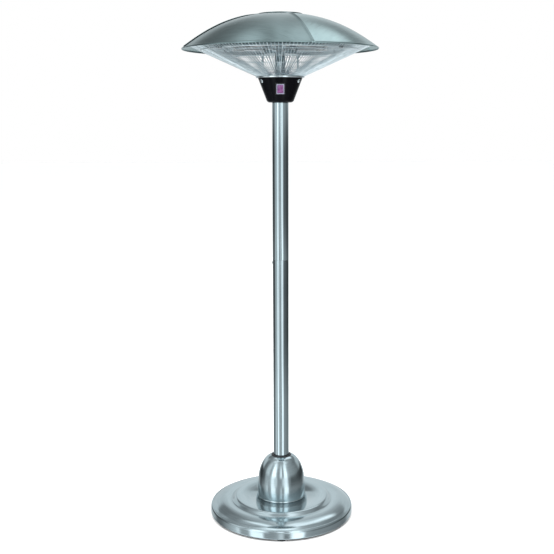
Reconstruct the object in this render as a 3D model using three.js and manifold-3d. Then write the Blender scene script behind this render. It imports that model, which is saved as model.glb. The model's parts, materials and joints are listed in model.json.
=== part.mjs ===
// A free-standing electric patio heater: a stepped round base, a two-section pole, a black switch
// housing, and quartz heating tubes under a four-panel canopy with a conical wire guard.
// Millimetres, +Z up. The origin is on the floor under the pole's axis, and -Y is the front.
import * as THREE from 'three';
import { mergeVertices } from 'three/addons/utils/BufferGeometryUtils.js';
import Module from 'manifold-3d';

const wasm = await Module();
wasm.setup();

// Fits and facets
const gap = 0.3; // clearance between pieces that touch
const screwClearance = 0.4; // radial, round a fastener in a clear hole
const sunk = 0.6; // how far two solids reach into each other where they are joined
const wideFacets = 36;
const poleFacets = 24;
const smallFacets = 12;
const screwFacets = 10;
const footFacets = 18;
const hubFacets = 20;

// Base
const baseRadius = 293;
const baseSheet = 1.5;
const bandHeight = 43; // top of the upright outer band
const ringHeight = 61; // the lower flat of the cover
const ringRadius = baseRadius - 86;
const plateauHeight = 75;
const plateauRadius = ringRadius - 20;
const baseLip = 9; // height of the cover's lower edge above the floor
const plateBottom = 8;
const plateThickness = 3;
const footRadius = 25;
const footCircle = baseRadius - 28;
const ballastOuter = baseRadius - 43;
const ballastHeight = 27;

// Pole
const poleRadius = 31.75;
const poleWall = 1.5;
const lowerPoleTop = 1063;
const upperPoleTop = 1735;
const linerWall = 3; // wall of every tube that fits inside the pole
const stubHeight = 330;
const joinerLength = 200;
const joinerScrewDrop = 13; // from the joint down to the lower screw, and up to the upper one
const flangeRadius = poleRadius + 32.25;
const ballastInner = flangeRadius + 28;
const flangeThickness = 5;
const flangeBolts = 3;

// Bell cover and collar
const bellRadius = 98;
const bellTop = 247;
const bellSheet = 1.2;
const bellMouth = poleRadius + 10.25;
const collarHeight = 13;
const collarRadius = poleRadius + 9.25;

// Head housing
const drumRadius = 69;
const housingBottom = upperPoleTop - 58;
const housingTop = housingBottom + 93;
const housingTopRadius = drumRadius + 17;
const housingTaper = 0.4; // radius lost for each millimetre down
const housingCorner = 13; // height of the rounded lower edge
const housingWall = 3;
const skirtWall = 2;
const deckThickness = 3.5;
const panRadius = housingTopRadius + 8;
const panSheet = 2.5;
const panRim = 2.4;

// Rocker switch, in its own plane: x across, v up the slope, n out of the housing
const switchHeight = housingTop - 43;
const frameWidth = 32;
const frameLength = 41;
const frameThickness = 3;
const rockerWidth = 22.8;
const rockerReach = 16; // from the pivot to the rocker's ends
const rockerTilt = 10; // degrees either way from the middle
const pivotDepth = 3;
const switchClearance = 0.5;
const switchBodyDepth = 22;
const switchBodyWall = 1.6;
const padMargin = 2.5;
const padDepth = 5;

// Heater
const tubeRadius = 20; // centre tube
const drumBottom = housingTop + 88;
const drumTop = drumBottom + 67;
const drumSheet = 1.5;
const rodRadius = 4;
const rodCircle = drumRadius - 1.6;
const rodCount = 4;
const canopyRadius = 375;
const dishEdgeRadius = canopyRadius - 64;
const dishEdgeHeight = drumTop - 47;
const dishSheet = 1;
const quartzRadius = 5.5;
const quartzLength = 300;
const quartzDistance = 28 + 0.28 * quartzLength; // from the axis to a tube's middle
const quartzHeight = drumTop - 39;
const quartzCount = 3;
const holderWidth = 18;
const holderLength = 20;

// Guard
const guardTopRadius = canopyRadius - 30; // the upper hoop is out of sight behind the canopy's rim
const guardSeatRadius = dishEdgeRadius - 4; // the hoop that the clips hold
const guardSeatHeight = dishEdgeHeight - 5.2;
const guardBottomRadius = panRadius - 4.5;
const guardWires = 24;
const wireRadius = 1.4;
const hoopRadius = 2.5;
const guardClips = 4;

// Canopy
const rimHeight = drumTop - 43;
const domeRise = 129.5;
const domeSquare = 0.785; // share of the fall that grows with the radius squared
const domeFourth = 0.388; // share that grows with its fourth power; the rest goes with the sixth
const canopySheet = 1.2;
const panelCount = 4;
const panelInner = 50;
const seamOffset = 45; // how far the seam lines pass beside the axis
const seamTurn = THREE.MathUtils.degToRad(-76.4); // direction of the first seam line
const seamLap = 14;
const crownRadius = 86;
const crownSheet = 1.5;

// Worked-out values
const basePlateTop = plateBottom + plateThickness;
const stubRadius = poleRadius - poleWall - gap;
const poleBottom = basePlateTop + 2 * gap + flangeThickness;
const coneRadius = (z) => housingTopRadius - housingTaper * (housingTop - z);
const slope = Math.atan(housingTaper);
const housingInset = housingWall / Math.cos(slope);
const deckBottom = housingTop - deckThickness;
const padTop = switchHeight + (frameLength / 2 + padMargin) * Math.cos(slope);
const skirtBottom = padTop + 3.1;
const skirtGap = 0.9; // clears the housing's facets
const skirtRadius = coneRadius(skirtBottom) - housingInset - skirtGap;
const panBottom = housingTop + gap;
const panTop = panBottom + panSheet;
const guardBottomHeight = panTop + gap + hoopRadius;
const guardSlope = (guardSeatHeight - guardBottomHeight) / (guardSeatRadius - guardBottomRadius);
const domeTop = (r) => {
  const t = (r / canopyRadius) ** 2;
  const sixth = 1 - domeSquare - domeFourth;
  return rimHeight + domeRise * (1 - domeSquare * t - domeFourth * t * t - sixth * t * t * t);
};

const finishes = {
  steel: { color: 0xaeb6b8, roughness: 0.35, metalness: 1 },
  polished: { color: 0xd6dadb, roughness: 0.15, metalness: 1 },
  zinc: { color: 0x9da3a6, roughness: 0.5, metalness: 0.9 },
  black: { color: 0x15171a, roughness: 0.45, metalness: 0 },
  iron: { color: 0x35383b, roughness: 0.8, metalness: 0.3 },
  rubber: { color: 0x101112, roughness: 0.9, metalness: 0 },
  pale: { color: 0xa3a3b8, roughness: 0.4, metalness: 0 },
  lamp: { color: 0x90678f, roughness: 0.25, metalness: 0 },
  ceramic: { color: 0xe4e0d4, roughness: 0.7, metalness: 0 },
  quartz: { color: 0xdde4e6, roughness: 0.1, metalness: 0 },
};
const materials = {};
for (const [name, values] of Object.entries(finishes)) {
  materials[name] = new THREE.MeshStandardMaterial(values);
}

const heater = new THREE.Group();

// A geometry as a solid with its faces pointing out, whichever way it was made.
function solidOf(geometry) {
  const bare = geometry.index ? geometry.toNonIndexed() : geometry.clone();
  bare.deleteAttribute('normal');
  bare.deleteAttribute('uv');
  const merged = mergeVertices(bare, 1e-3);
  const triVerts = new Uint32Array(merged.index.array);
  const vertProperties = merged.attributes.position.array;
  const solid = new wasm.Manifold(new wasm.Mesh({ numProp: 3, vertProperties, triVerts }));
  if (solid.volume() > 0) {
    return solid;
  }
  return new wasm.Manifold(new wasm.Mesh({ numProp: 3, vertProperties, triVerts: triVerts.reverse() }));
}

function geometryOf(solid) {
  const mesh = solid.getMesh();
  const geometry = new THREE.BufferGeometry();
  geometry.setAttribute('position', new THREE.BufferAttribute(mesh.vertProperties, 3));
  geometry.setIndex(new THREE.BufferAttribute(mesh.triVerts, 1));
  geometry.computeVertexNormals();
  return geometry;
}

// Adds a named piece to the heater.
function piece(name, geometry, finish) {
  const mesh = new THREE.Mesh(geometryOf(solidOf(geometry)), materials[finish]);
  mesh.name = name;
  heater.add(mesh);
}

// Joins the first geometries, then cuts the others away.
function shaped(joined, removed = []) {
  let solid = solidOf(joined[0]);
  for (const other of joined.slice(1)) {
    solid = solid.add(solidOf(other));
  }
  for (const tool of removed) {
    solid = solid.subtract(solidOf(tool));
  }
  return geometryOf(solid);
}

// A turned piece from [radius, height] pairs, about the Z axis.
function turned(points, facets = wideFacets) {
  const profile = points.map(([r, z]) => new THREE.Vector2(r, z));
  return new THREE.LatheGeometry(profile, facets).rotateX(Math.PI / 2);
}

// A plain ring or tube between two radii and two heights.
function ringPiece(inner, outer, bottom, top, facets = wideFacets) {
  return turned([[inner, bottom], [outer, bottom], [outer, top], [inner, top], [inner, bottom]], facets);
}

// A closed sheet profile: an outline that runs inwards and upwards, and the same outline moved
// along its normals to the underside.
function sheetProfile(outline, thickness) {
  const inner = outline.map(([r, z], i) => {
    const before = outline[Math.max(i - 1, 0)];
    const after = outline[Math.min(i + 1, outline.length - 1)];
    const length = Math.hypot(after[0] - before[0], after[1] - before[1]);
    const across = (after[1] - before[1]) / length;
    const down = (after[0] - before[0]) / length;
    return [r - across * thickness, z + down * thickness];
  });
  return [...outline, ...inner.reverse(), outline[0]];
}

// A rod between two points.
function rodBetween(from, to, radius, facets = smallFacets) {
  const start = new THREE.Vector3(...from);
  const along = new THREE.Vector3(...to).sub(start);
  const turn = new THREE.Quaternion().setFromUnitVectors(
    new THREE.Vector3(0, 1, 0),
    along.clone().normalize(),
  );
  return new THREE.CylinderGeometry(radius, radius, along.length(), facets)
    .applyQuaternion(turn)
    .translate(start.x + along.x / 2, start.y + along.y / 2, start.z + along.z / 2);
}

function box(width, depth, height, x, y, z) {
  return new THREE.BoxGeometry(width, depth, height).translate(x, y, z);
}

const polar = (radius, angle, z) => [radius * Math.cos(angle), radius * Math.sin(angle), z];
const fullTurn = 2 * Math.PI;
const front = -Math.PI / 2;
const rear = Math.PI / 2;

// Base

// The cover's outer outline, from its lower edge up over the band, the ring and the plateau.
const ballastTop = basePlateTop + gap + ballastHeight;
const coverHole = poleRadius + 6;
const coverOutline = [
  [baseRadius, baseLip],
  [baseRadius - 1.5, bandHeight - 5],
  [baseRadius - 6, bandHeight],
  [baseRadius - 11, bandHeight + 0.8],
  [baseRadius - 24, bandHeight + 9],
  [baseRadius - 42, bandHeight + 15],
  [baseRadius - 64, ringHeight],
  [ringRadius, ringHeight],
  [plateauRadius + 8, plateauHeight - 4],
  [plateauRadius - 3, plateauHeight],
  [coverHole, plateauHeight],
];

const glandHeight = 27;
const leadRadius = 3.5;
const glandRadius = 8;
const glandBore = leadRadius + 0.6;
const glandNutRadius = 11.5;
const glandNutThickness = 4;
const glandFaceGap = 0.8; // clears the band's facets
const glandLength = 16;

function baseCover() {
  const glandHole = rodBetween(
    [0, baseRadius - 20, glandHeight],
    [0, baseRadius + 20, glandHeight],
    glandRadius + screwClearance,
  );
  return shaped([turned(sheetProfile(coverOutline, baseSheet))], [glandHole]);
}

const boltCircle = (stubRadius + poleWall + flangeRadius) / 2;
const boltRadius = 4;
const boltHeadRadius = 7;
const boltHeadHeight = 5;
const boltAngle = (i) => front + (i * fullTurn) / flangeBolts;

function basePlate() {
  const disc = turned([
    [0, plateBottom],
    [baseRadius - baseSheet - 1.2, plateBottom],
    [baseRadius - baseSheet - 1.2, basePlateTop],
    [0, basePlateTop],
  ]);
  const holes = [];
  for (let i = 0; i < flangeBolts; i += 1) {
    const [x, y] = polar(boltCircle, boltAngle(i), 0);
    holes.push(rodBetween([x, y, 0], [x, y, basePlateTop + 1], boltRadius + screwClearance));
  }
  return shaped([disc], holes);
}

function baseFoot(i) {
  const [x, y] = polar(footCircle, front + (i * fullTurn) / 4, 0);
  const top = plateBottom - gap;
  return turned([
    [0, 0],
    [footRadius - 2, 0],
    [footRadius, 2],
    [footRadius, top],
    [0, top],
  ], footFacets).translate(x, y, 0);
}

// The stub that the pole slides over, with its flange on the base plate.
const leadEntry = 54; // height where the lead comes in through the pole
const leadHole = 6.5;

function entryHole() {
  return rodBetween([0, 10, leadEntry], [0, poleRadius + 10, leadEntry], leadHole);
}

function poleSocket() {
  const bottom = basePlateTop + gap;
  const flangeTop = bottom + flangeThickness;
  const body = turned([
    [stubRadius - linerWall, bottom],
    [flangeRadius, bottom],
    [flangeRadius, flangeTop],
    [stubRadius, flangeTop],
    [stubRadius, stubHeight - 3],
    [stubRadius - 1, stubHeight],
    [stubRadius - linerWall, stubHeight],
    [stubRadius - linerWall, bottom],
  ], poleFacets);
  const holes = [entryHole()];
  for (let i = 0; i < flangeBolts; i += 1) {
    const [x, y] = polar(boltCircle, boltAngle(i), 0);
    holes.push(rodBetween([x, y, 0], [x, y, flangeTop + 1], boltRadius + screwClearance));
  }
  return shaped([body], holes);
}

function socketBolt(i) {
  const [x, y] = polar(boltCircle, boltAngle(i), 0);
  const seat = basePlateTop + gap + flangeThickness + gap;
  return turned([
    [0, plateBottom],
    [boltRadius, plateBottom],
    [boltRadius, seat],
    [boltHeadRadius, seat],
    [boltHeadRadius, seat + boltHeadHeight],
    [0, seat + boltHeadHeight],
  ], 12).translate(x, y, 0);
}

// The spun bell that hides the foot of the pole.
function bellCover() {
  const bottom = plateauHeight + gap;
  const height = bellTop - bottom;
  const shoulders = [[1, 0], [0.997, 0.2], [0.98, 0.4], [0.945, 0.56], [0.885, 0.69], [0.8, 0.8], [0.68, 0.9]];
  const curve = new THREE.SplineCurve([
    ...shoulders.map(([r, z]) => new THREE.Vector2(bellRadius * r, bottom + height * z)),
    new THREE.Vector2((bellRadius + bellMouth) * 0.39, bellTop - height * 0.035),
    new THREE.Vector2(bellMouth, bellTop),
  ]);
  const outline = curve.getPoints(8).map((p) => [p.x, p.y]);
  return turned(sheetProfile(outline, bellSheet), poleFacets);
}

// The black collar round the pole, with a lip that closes the bell's mouth.
function collarRing() {
  const inner = poleRadius + gap;
  const neck = bellMouth - bellSheet - 1;
  const lipBottom = bellTop - 3;
  return turned([
    [inner, bellTop - collarHeight],
    [neck - 2, bellTop - collarHeight],
    [neck - 2, lipBottom],
    [neck, lipBottom],
    [neck, bellTop],
    [collarRadius - 1.2, bellTop + gap],
    [collarRadius - 1.2, bellTop + 2.5],
    [collarRadius - 3, bellTop + 4],
    [inner, bellTop + 4],
    [inner, bellTop - collarHeight],
  ], poleFacets);
}

const glandFace = baseRadius + glandFaceGap;

function cableGland() {
  const profile = [
    [glandBore, glandFace - 10],
    [glandRadius, glandFace - 10],
    [glandRadius, glandFace],
    [glandNutRadius, glandFace],
    [glandNutRadius, glandFace + glandNutThickness],
    [glandRadius - 1, glandFace + glandNutThickness],
    [glandRadius - 2, glandFace - 10 + glandLength],
    [glandBore, glandFace - 10 + glandLength],
    [glandBore, glandFace - 10],
  ];
  return turned(profile, smallFacets).rotateX(-Math.PI / 2).translate(0, 0, glandHeight);
}

// Pole

const jointGap = gap / 2;
const linerRadius = stubRadius;
const joinerScrewRadius = 2.5;
const screwHeadRadius = 5.5;
const screwHeadHeight = 3.6;
const lowerScrewHeight = lowerPoleTop - joinerScrewDrop;
const upperScrewHeight = lowerPoleTop + joinerScrewDrop;

// A clear hole through one wall, along a direction in plan.
function wallHole(angle, height, radius) {
  return rodBetween(polar(linerRadius - 10, angle, height), polar(poleRadius + 10, angle, height), radius, 12);
}

const lowerScrewAngle = Math.PI;
const upperScrewAngle = rear;
const joinerHole = joinerScrewRadius + screwClearance;

function lowerPole() {
  const tube = ringPiece(poleRadius - poleWall, poleRadius, poleBottom, lowerPoleTop - jointGap, poleFacets);
  return shaped([tube], [entryHole(), wallHole(lowerScrewAngle, lowerScrewHeight, joinerHole)]);
}

function upperPole() {
  const tube = ringPiece(poleRadius - poleWall, poleRadius, lowerPoleTop + jointGap, upperPoleTop, poleFacets);
  return shaped([tube], [wallHole(upperScrewAngle, upperScrewHeight, joinerHole)]);
}

function poleJoiner() {
  const half = joinerLength / 2;
  const inner = linerRadius - linerWall;
  const sleeve = ringPiece(inner, linerRadius, lowerPoleTop - half, lowerPoleTop + half, poleFacets);
  return shaped([sleeve], [
    wallHole(lowerScrewAngle, lowerScrewHeight, joinerHole),
    wallHole(upperScrewAngle, upperScrewHeight, joinerHole),
  ]);
}

// A pan-head screw along +X, its head's seat at x = 0 and its tip at -length.
function panScrew(shankRadius, headRadius, headHeight, length) {
  return turned([
    [0, -length],
    [shankRadius, -length],
    [shankRadius, 0],
    [headRadius, 0],
    [headRadius, headHeight * 0.55],
    [headRadius * 0.6, headHeight],
    [0, headHeight],
  ], screwFacets).rotateY(Math.PI / 2);
}

function joinerScrew(angle, height) {
  return panScrew(joinerScrewRadius, screwHeadRadius, screwHeadHeight, poleWall + linerWall + 3)
    .translate(poleRadius + gap, 0, 0)
    .rotateZ(angle)
    .translate(0, 0, height);
}

// Head housing

// The liner in the pole's top, with the round deck that carries the head and a turned-down skirt.
const linerDepth = 100;
const deckHole = 15;
const housingScrewHeight = skirtBottom + 6;
const housingScrewRadius = 2;
const housingScrewAngles = [front - Math.PI / 3, front + Math.PI / 3, rear];
const topExitHeight = (upperPoleTop + deckBottom) / 2;

function screwLine(angle, from, to, radius) {
  return rodBetween(polar(from, angle, housingScrewHeight), polar(to, angle, housingScrewHeight), radius, 12);
}

function headSocket() {
  const inner = linerRadius - linerWall;
  const body = turned([
    [inner, upperPoleTop - linerDepth],
    [linerRadius, upperPoleTop - linerDepth],
    [linerRadius, deckBottom],
    [skirtRadius - skirtWall, deckBottom],
    [skirtRadius - skirtWall, skirtBottom],
    [skirtRadius, skirtBottom],
    [skirtRadius, housingTop],
    [deckHole, housingTop],
    [deckHole, deckBottom],
    [inner, deckBottom],
    [inner, upperPoleTop - linerDepth],
  ], poleFacets);
  const leadExit = rodBetween([-10, 0, topExitHeight], [-poleRadius - 8, 0, topExitHeight], leadHole);
  const screwHoles = housingScrewAngles.map((angle) => (
    screwLine(angle, skirtRadius - 8, skirtRadius + 8, housingScrewRadius + screwClearance)
  ));
  return shaped([body], [leadExit, ...screwHoles]);
}

// Places a geometry made in the switch's own plane: x across, y out of the housing, z up the slope.
const padLift = 0.6; // the pad stands proud of the cone by this much
const faceRadius = coneRadius(switchHeight) + padLift;

function onSwitchFace(geometry) {
  return geometry.rotateX(slope).translate(0, -faceRadius, switchHeight);
}

const bodyWidth = rockerWidth + 2 * (switchClearance + switchBodyWall);
const openingHalf = rockerReach + switchClearance;
const bodyLength = 2 * (openingHalf + switchBodyWall);

function headHousing() {
  const corner = housingBottom + housingCorner;
  const cornerRadius = coneRadius(corner);
  const hole = poleRadius + gap;
  const floor = housingBottom + housingWall;
  const shell = turned([
    [hole, housingBottom],
    [cornerRadius - housingCorner, housingBottom],
    [cornerRadius - housingCorner * 0.5, housingBottom + housingCorner * 0.16],
    [cornerRadius - housingCorner * 0.14, housingBottom + housingCorner * 0.5],
    [cornerRadius, corner],
    [coneRadius(housingTop), housingTop],
    [coneRadius(housingTop) - housingInset, housingTop],
    [cornerRadius - housingInset, corner],
    [cornerRadius - housingCorner, floor],
    [hole, floor],
    [hole, housingBottom],
  ], 32);
  const pad = onSwitchFace(box(frameWidth + 2 * padMargin, padDepth, frameLength + 2 * padMargin, 0, padDepth / 2, 0));
  const opening = onSwitchFace(box(bodyWidth + 2 * gap, 60, bodyLength + 2 * gap, 0, 0, 0));
  const screwHoles = housingScrewAngles.map((angle) => (
    screwLine(angle, housingTopRadius - 20, housingTopRadius + 20, housingScrewRadius + screwClearance)
  ));
  return shaped([shell, pad], [opening, ...screwHoles]);
}

function housingScrew(angle) {
  const seat = coneRadius(housingScrewHeight) + 2.4;
  return panScrew(housingScrewRadius, 5, 3, seat - skirtRadius + 5)
    .translate(seat, 0, 0)
    .rotateZ(angle)
    .translate(0, 0, housingScrewHeight);
}

const rodAngle = (i) => front + (i * fullTurn) / rodCount;

// The bright pan that closes the housing and seats the guard's lower hoop.
function housingPan() {
  const rim = panRadius - 1.4;
  const pan = turned([
    [deckHole, panBottom],
    [panRadius, panBottom],
    [panRadius, panTop + panRim],
    [rim, panTop + panRim],
    [rim, panTop],
    [deckHole, panTop],
    [deckHole, panBottom],
  ], 28);
  const holes = [];
  for (let i = 0; i < rodCount; i += 1) {
    const [x, y] = polar(rodCircle, rodAngle(i), 0);
    holes.push(rodBetween([x, y, panBottom - 5], [x, y, panTop + 5], rodRadius + screwClearance));
  }
  return shaped([pan], holes);
}

function switchFrame() {
  const plate = box(frameWidth, frameThickness, frameLength, 0, -gap - frameThickness / 2, 0);
  const opening = box(rockerWidth + 2 * switchClearance, 20, 2 * openingHalf, 0, 0, 0);
  return onSwitchFace(shaped([plate], [opening]));
}

// The rocker at mid travel: two faces that slope up to its ends, a round belly and two trunnions.
const trunnionRadius = 1.6;
const trunnionReach = rockerWidth / 2 + 1.4;

function rocker() {
  const faceRise = 6.4; // height of the ends above the pivot
  const faceDip = 3.8; // height of the middle above the pivot
  const endAngle = Math.asin(faceRise / rockerReach);
  const section = new THREE.Shape();
  section.moveTo(0, faceDip);
  section.lineTo(rockerReach * Math.cos(endAngle), faceRise);
  section.absarc(0, 0, rockerReach, endAngle, -0.5, true);
  section.lineTo(5, -12);
  section.lineTo(-5, -12);
  section.absarc(0, 0, rockerReach, Math.PI + 0.5, Math.PI - endAngle, true);
  section.closePath();
  const solid = new THREE.ExtrudeGeometry(section, { depth: rockerWidth, bevelEnabled: false, curveSegments: 6 })
    .translate(0, 0, -rockerWidth / 2)
    .rotateY(Math.PI / 2)
    .rotateX(Math.PI / 2);
  const trunnions = rodBetween([-trunnionReach, 0, 0], [trunnionReach, 0, 0], trunnionRadius, 12);
  // Rest is the off position: the rocker is tipped to its stop about its trunnions.
  const placed = shaped([solid, trunnions])
    .rotateX(THREE.MathUtils.degToRad(-rockerTilt))
    .translate(0, pivotDepth, 0);
  return onSwitchFace(placed);
}

function switchBody() {
  const shell = box(bodyWidth, switchBodyDepth, bodyLength, 0, gap / 3 + switchBodyDepth / 2, 0);
  const halfCavity = rockerWidth / 2 + switchClearance;
  const cavity = rodBetween([-halfCavity, pivotDepth, 0], [halfCavity, pivotDepth, 0], openingHalf, 28);
  const pivotHole = rodBetween(
    [-trunnionReach - gap, pivotDepth, 0],
    [trunnionReach + gap, pivotDepth, 0],
    trunnionRadius + gap,
    12,
  );
  return onSwitchFace(shaped([shell], [cavity, pivotHole]));
}

// Pieces that hang from the deck inside the housing.
const blockHeight = 14;
const blockRadial = 14;
const blockDistance = 51;

function terminalBlock() {
  const top = deckBottom - gap;
  const block = box(blockRadial, 36, blockHeight, -blockDistance, 0, top - blockHeight / 2);
  const slots = [];
  for (const y of [-12, 0, 12]) {
    slots.push(rodBetween(
      [-blockDistance - blockRadial, y, top - blockHeight / 2],
      [-blockDistance - 3, y, top - blockHeight / 2],
      2.5,
      12,
    ));
  }
  return shaped([block], slots);
}

function tiltSwitch() {
  const height = 30;
  const top = deckBottom - gap;
  const body = box(24, 18, height, 0, 50, top - height / 2);
  const cap = rodBetween([0, 50, top - height - 4], [0, 50, top - height + sunk], 6);
  return shaped([body, cap]);
}

// The lead that runs inside the heater, from the gland over the ballast and up the pole.
const leadCrest = ballastTop + leadRadius + 4;
const leadStep = 10.5; // length of one straight piece of the lead

function leadRun(points) {
  const curve = new THREE.CatmullRomCurve3(points.map((p) => new THREE.Vector3(...p)), false, 'centripetal');
  const section = new THREE.Shape().absarc(0, 0, leadRadius, 0, fullTurn);
  return new THREE.ExtrudeGeometry(section, {
    steps: Math.ceil(curve.getLength() / leadStep),
    extrudePath: curve,
    bevelEnabled: false,
    curveSegments: 4,
  });
}

function innerLead() {
  const outer = glandFace - 10 + glandLength;
  const lower = leadRun([
    [0, outer, glandHeight],
    [0, baseRadius, glandHeight],
    [0, glandFace - 12, glandHeight],
    [0, ballastOuter + 20, (glandHeight + leadCrest) / 2],
    [0, ballastOuter + 4, leadCrest],
    [0, ballastOuter - 20, leadCrest],
    [0, 130, leadCrest],
    [0, 60, leadEntry],
    [0, 32, leadEntry],
    [0, 14, leadEntry + 6],
    [0, 3, leadEntry + 20],
    [0, 0, leadEntry + 42],
    [0, 0, 140],
  ]);
  const riser = rodBetween([0, 0, 139], [0, 0, upperPoleTop - 60], leadRadius, 8);
  const blockSide = -blockDistance + blockRadial / 2 + gap;
  const upper = leadRun([
    [0, 0, upperPoleTop - 61],
    [0, 0, topExitHeight - 34],
    [-4, 0, topExitHeight - 17],
    [-14, 0, topExitHeight - 4],
    [-26, 0, topExitHeight],
    [blockSide, 0, topExitHeight],
  ]);
  return shaped([lower, riser, upper]);
}

// Heater

const centreTubeTop = drumBottom - gap;

function supportRod(i) {
  const [x, y] = polar(rodCircle, rodAngle(i), 0);
  return rodBetween([x, y, housingTop + gap], [x, y, drumBottom - gap], rodRadius, 12);
}

const drumHole = 14;
const plateSheet = 2;
const hubStudRadius = 8;

// The polished drum, open at the top, that carries the heating tubes' wiring.
function elementDrum() {
  return turned([
    [drumHole, drumBottom],
    [drumRadius + 3, drumBottom],
    [drumRadius + 3, drumBottom + drumSheet],
    [drumRadius, drumBottom + drumSheet + 2],
    [drumRadius, drumTop],
    [drumRadius - drumSheet, drumTop],
    [drumRadius - drumSheet, drumBottom + drumSheet + 2],
    [drumHole, drumBottom + drumSheet + 2],
    [drumHole, drumBottom],
  ], 28);
}

const drumPlateBottom = drumTop + gap;
const drumPlateTop = drumPlateBottom + plateSheet;

function drumPlate() {
  return ringPiece(hubStudRadius + gap, drumRadius + 8, drumPlateBottom, drumPlateTop, 28);
}

// The reflector dish, between the drum plate and the guard's upper hoop.
const dishInner = drumRadius - 10;
const dishBottom = drumPlateTop + gap;

function reflectorOutline() {
  const points = [];
  const steps = 4;
  const top = dishBottom + dishSheet;
  points.push([dishInner, top]);
  for (let i = 0; i <= steps; i += 1) {
    const share = i / steps;
    const radius = drumRadius + 12 + share * (dishEdgeRadius - drumRadius - 12);
    points.push([radius, top - (top - dishEdgeHeight) * share ** 1.8]);
  }
  return points.reverse();
}

const dishOutline = reflectorOutline();

function dishUnderside(radius) {
  const points = dishOutline;
  const after = points.findIndex(([r]) => r <= radius);
  const [r0, z0] = points[after - 1];
  const [r1, z1] = points[after];
  return z0 + ((z1 - z0) * (radius - r0)) / (r1 - r0) - dishSheet;
}

function reflectorDish() {
  return turned(sheetProfile(dishOutline, dishSheet));
}

const quartzAngle = (i) => rear + (i * fullTurn) / quartzCount;
const holderReach = quartzLength / 2 + holderLength;

function quartzTube(i) {
  const half = quartzLength / 2;
  return rodBetween([quartzDistance, -half, quartzHeight], [quartzDistance, half, quartzHeight], quartzRadius, 12)
    .rotateZ(quartzAngle(i));
}

// A ceramic end block on a strap that hangs from the reflector.
function tubeHolder(i, side) {
  const middle = side * (quartzLength / 2 + gap + holderLength / 2 - 6);
  const block = box(holderWidth, holderLength, holderWidth, quartzDistance, middle, quartzHeight);
  const reach = Math.hypot(quartzDistance + 6, middle + (side * holderLength) / 2);
  const strapTop = dishUnderside(reach) - 1.2;
  const strapBottom = quartzHeight + holderWidth / 2 - sunk;
  const strap = box(10, holderLength - 6, strapTop - strapBottom, quartzDistance, middle, (strapTop + strapBottom) / 2);
  const socket = rodBetween(
    [quartzDistance, side * (quartzLength / 2 - 12), quartzHeight],
    [quartzDistance, side * (quartzLength / 2 + gap), quartzHeight],
    quartzRadius + gap,
    12,
  );
  return shaped([block, strap], [socket]).rotateZ(quartzAngle(i));
}

// Guard

const guardHeightAt = (r) => guardBottomHeight + guardSlope * (r - guardBottomRadius);

function hoop(radius, height, section, facets) {
  const points = [];
  for (let i = 0; i <= 4; i += 1) {
    const angle = (i * fullTurn) / 4;
    points.push([radius + section * Math.cos(angle), height + section * Math.sin(angle)]);
  }
  return turned(points, facets);
}

function wireGuard() {
  const middleRadius = (guardSeatRadius + guardBottomRadius) / 2;
  const guardTopHeight = guardHeightAt(guardTopRadius);
  const wires = [];
  for (let i = 0; i < guardWires; i += 1) {
    const angle = ((i + 0.5) * fullTurn) / guardWires;
    wires.push(rodBetween(
      polar(guardBottomRadius + 0.4, angle, guardBottomHeight + 0.2),
      polar(guardTopRadius - 0.4, angle, guardTopHeight - 0.2),
      wireRadius,
      4,
    ));
  }
  return shaped([
    hoop(guardBottomRadius, guardBottomHeight, hoopRadius, guardWires),
    hoop(middleRadius, guardHeightAt(middleRadius), hoopRadius * 0.8, guardWires),
    hoop(guardSeatRadius, guardSeatHeight, hoopRadius, guardWires),
    hoop(guardTopRadius, guardTopHeight, hoopRadius, guardWires),
    ...wires,
  ]);
}

// A spring clip that holds one of the guard's hoops to the reflector's edge.
function guardClip(i) {
  const sheet = 1.2;
  const outside = dishEdgeRadius + 4;
  const inside = guardSeatRadius - 5;
  const top = dishEdgeHeight + 5.5;
  const bottom = guardSeatHeight - hoopRadius - 1.6;
  const width = 12;
  const section = new THREE.Shape();
  section.moveTo(inside, bottom);
  section.lineTo(inside, bottom - sheet);
  section.lineTo(outside, bottom - sheet);
  section.lineTo(outside, top + sheet);
  section.lineTo(inside, top + sheet);
  section.lineTo(inside, top);
  section.lineTo(outside - sheet, top);
  section.lineTo(outside - sheet, bottom);
  section.closePath();
  return new THREE.ExtrudeGeometry(section, { depth: width, bevelEnabled: false })
    .translate(0, 0, -width / 2)
    .rotateX(Math.PI / 2)
    .rotateZ(front + ((i + 0.5) * fullTurn) / guardClips);
}

// Canopy

// Direction of the first seam at a radius: a straight line in plan that passes beside the axis.
const seamAngle = (r) => seamTurn + Math.asin(seamOffset / r);

// A panel is a closed sheet from its own seam to the next one, where its edge is raised over the
// next panel's.
function canopyPanel(i) {
  const along = 9; // steps from the crown to the rim
  const across = 10; // steps from seam to seam, the laps included
  const turn = (i * fullTurn) / panelCount;
  const span = fullTurn / panelCount;
  const raise = canopySheet + gap;
  const panel = new THREE.BoxGeometry(1, 1, 1, across, along, 1);
  const place = panel.attributes.position;
  for (let k = 0; k < place.count; k += 1) {
    const column = Math.round((place.getX(k) + 0.5) * across);
    const row = Math.round((place.getY(k) + 0.5) * along);
    const isTop = place.getZ(k) > 0;
    const radius = panelInner + (canopyRadius - panelInner) * (row / along) ** 1.35;
    const lap = seamLap / radius;
    let angle = lap + ((span - 2 * lap) * (column - 1)) / (across - 3);
    if (column === 0) {
      angle = 0;
    } else if (column === across - 1) {
      angle = span;
    } else if (column === across) {
      angle = span + lap;
    }
    const lift = column >= across - 1 ? raise : 0;
    const height = domeTop(radius) + lift - (isTop ? 0 : canopySheet);
    place.setXYZ(k, ...polar(radius, turn + seamAngle(radius) + angle, height));
  }
  return panel;
}

// The hub under the panels and the crown cap over them, with the bolt that draws them together.
const crownBoltRadius = 5;
const crownBoltHead = 11;

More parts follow.
